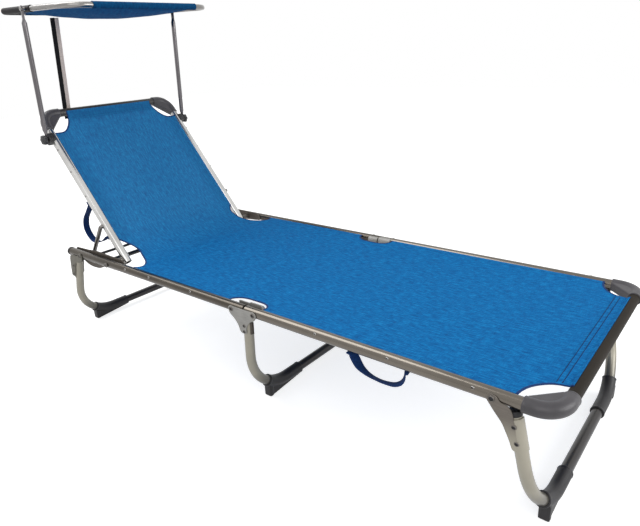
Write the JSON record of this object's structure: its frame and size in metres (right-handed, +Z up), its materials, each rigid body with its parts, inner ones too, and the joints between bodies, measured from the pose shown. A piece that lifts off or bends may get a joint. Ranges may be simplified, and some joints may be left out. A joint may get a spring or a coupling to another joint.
{
  "type": "sun lounger with canopy",
  "caption": "Folding sun lounger: fabric bed on a tube frame with U legs, reclining backrest on a rack and prop, and a tilting canopy.",
  "frame": {"origin": "on the floor under the middle of the lounger's length and width", "axes": "+Y from the foot bar to the head end, +X to the lounger's right seen from the foot, +Z up"},
  "size_m": [0.6394, 1.8088, 1.03],
  "materials": {
    "frame_paint": "silver grey lacquer with a slight sheen on steel tube",
    "leg_paint": "warm grey satin lacquer on steel tube",
    "arm_paint": "grey satin lacquer",
    "ring_paint": "silver grey satin lacquer",
    "prop_paint": "dark grey lacquered rod",
    "bracket_steel": "grey lacquered pressed steel",
    "rack_steel": "dark grey brown lacquered steel",
    "fixing_steel": "plain bright rivets, pins and bolts",
    "elbow_plastic": "dark grey moulded plastic, soft sheen",
    "shoe_plastic": "near black moulded plastic",
    "end_plastic": "black moulded plastic",
    "sling_fabric": "blue melange woven fabric with fine slub streaks",
    "canopy_fabric": "blue melange woven fabric",
    "handle_webbing": "navy blue woven webbing",
    "strap_webbing": "black and warm grey woven strap"
  },
  "bodies": {
    "head_frame": {"head_rail_left": "frame_paint", "head_rail_right": "frame_paint", "head_rail_cap_left": "end_plastic", "head_rail_cap_right": "end_plastic", "head_leg_pin_left": "fixing_steel", "head_leg_pin_right": "fixing_steel", "rack_left": "rack_steel", "rack_right": "rack_steel", "backrest_pivot_bolt_left": "fixing_steel", "backrest_pivot_bolt_right": "fixing_steel", "cross_brace": "prop_paint", "seat_sling": "sling_fabric"},
    "mid_leg": {"mid_leg_tube": "leg_paint", "mid_bracket_left": "bracket_steel", "mid_bracket_right": "bracket_steel", "mid_shoe_left": "shoe_plastic", "mid_shoe_right": "shoe_plastic"},
    "foot_frame": {"foot_rail_left": "frame_paint", "foot_rail_right": "frame_paint", "foot_elbow_left": "elbow_plastic", "foot_elbow_right": "elbow_plastic", "foot_leg_pin_left": "fixing_steel", "foot_leg_pin_right": "fixing_steel", "foot_bar": "frame_paint", "foot_sling": "sling_fabric", "foot_carry_handle": "handle_webbing"},
    "foot_leg": {"foot_leg_tube": "leg_paint", "foot_bracket_left": "bracket_steel", "foot_bracket_right": "bracket_steel", "foot_shoe_left": "shoe_plastic", "foot_shoe_right": "shoe_plastic", "foot_leg_plug_left": "end_plastic", "foot_leg_plug_right": "end_plastic"},
    "head_leg": {"head_leg_tube": "leg_paint", "head_bracket_left": "bracket_steel", "head_bracket_right": "bracket_steel", "head_shoe_left": "shoe_plastic", "head_shoe_right": "shoe_plastic"},
    "backrest": {"backrest_tube_left": "frame_paint", "backrest_tube_right": "frame_paint", "backrest_elbow_left": "elbow_plastic", "backrest_elbow_right": "elbow_plastic", "canopy_clamp_left": "shoe_plastic", "canopy_clamp_right": "shoe_plastic", "backrest_top_bar": "frame_paint", "backrest_sling": "sling_fabric", "head_carry_handle": "handle_webbing"},
    "prop": {"prop_bail": "prop_paint"},
    "canopy_arms": {"canopy_arm_left": "arm_paint", "canopy_arm_right": "arm_paint", "canopy_bolt_left": "fixing_steel", "canopy_bolt_right": "fixing_steel", "canopy_tie_strap": "strap_webbing"},
    "knob_left": {"canopy_knob_left": "shoe_plastic"},
    "knob_right": {"canopy_knob_right": "shoe_plastic"},
    "canopy": {"canopy_front_tube": "ring_paint", "canopy_rear_bar": "ring_paint", "canopy_elbow_left": "elbow_plastic", "canopy_elbow_right": "elbow_plastic", "canopy_cloth": "canopy_fabric"}
  },
  "joints": [
    {"name": "mid_leg_fold", "type": "hinge", "parent": "head_frame", "child": "mid_leg", "pos_m": [0, -0.11224, 0.2805], "axis": [1, 0, 0], "range_deg": [0, 85]},
    {"name": "foot_fold", "type": "hinge", "parent": "mid_leg", "child": "foot_frame", "pos_m": [0, -0.18624, 0.2805], "axis": [1, 0, 0], "range_deg": [0, 85]},
    {"name": "foot_leg_fold", "type": "hinge", "parent": "foot_frame", "child": "foot_leg", "pos_m": [0, -0.77624, 0.2805], "axis": [1, 0, 0], "range_deg": [0, 103], "deforming": ["foot_carry_handle"]},
    {"name": "head_leg_fold", "type": "hinge", "parent": "head_frame", "child": "head_leg", "pos_m": [0, 0.59676, 0.2805], "axis": [1, 0, 0], "range_deg": [-105, 0]},
    {"name": "backrest_recline", "type": "hinge", "parent": "head_frame", "child": "backrest", "pos_m": [0, 0.44476, 0.2805], "axis": [1, 0, 0], "range_deg": [-50.3, 34.7], "deforming": ["head_carry_handle"]},
    {"name": "prop_swing", "type": "hinge", "parent": "backrest", "child": "prop", "pos_m": [0, 0.52461, 0.37667], "axis": [1, 0, 0], "range_deg": [-70, 100]},
    {"name": "canopy_arm_tilt", "type": "hinge", "parent": "backrest", "child": "canopy_arms", "pos_m": [0, 0.73949, 0.6355], "axis": [1, 0, 0], "range_deg": [-43.4, 60], "deforming": ["canopy_tie_strap"]},
    {"name": "canopy_tilt", "type": "hinge", "parent": "canopy_arms", "child": "canopy", "pos_m": [0, 0.7149, 1.01571], "axis": [1, 0, 0], "range_deg": [-90, 90]},
    {"name": "knob_left_turn", "type": "hinge", "parent": "backrest", "child": "knob_left", "pos_m": [0, 0.73949, 0.6355], "axis": [1, 0, 0], "continuous": true},
    {"name": "knob_right_turn", "type": "hinge", "parent": "backrest", "child": "knob_right", "pos_m": [0, 0.73949, 0.6355], "axis": [1, 0, 0], "continuous": true}
  ],
  "couplings": [
    {"joint": "foot_fold", "follows": "mid_leg_fold", "ratio": 1},
    {"joint": "foot_leg_fold", "follows": "mid_leg_fold", "ratio": 1.2118},
    {"joint": "head_leg_fold", "follows": "mid_leg_fold", "ratio": -1.2353},
    {"joint": "prop_swing", "follows": "backrest_recline", "ratio": -1.905}
  ]
}
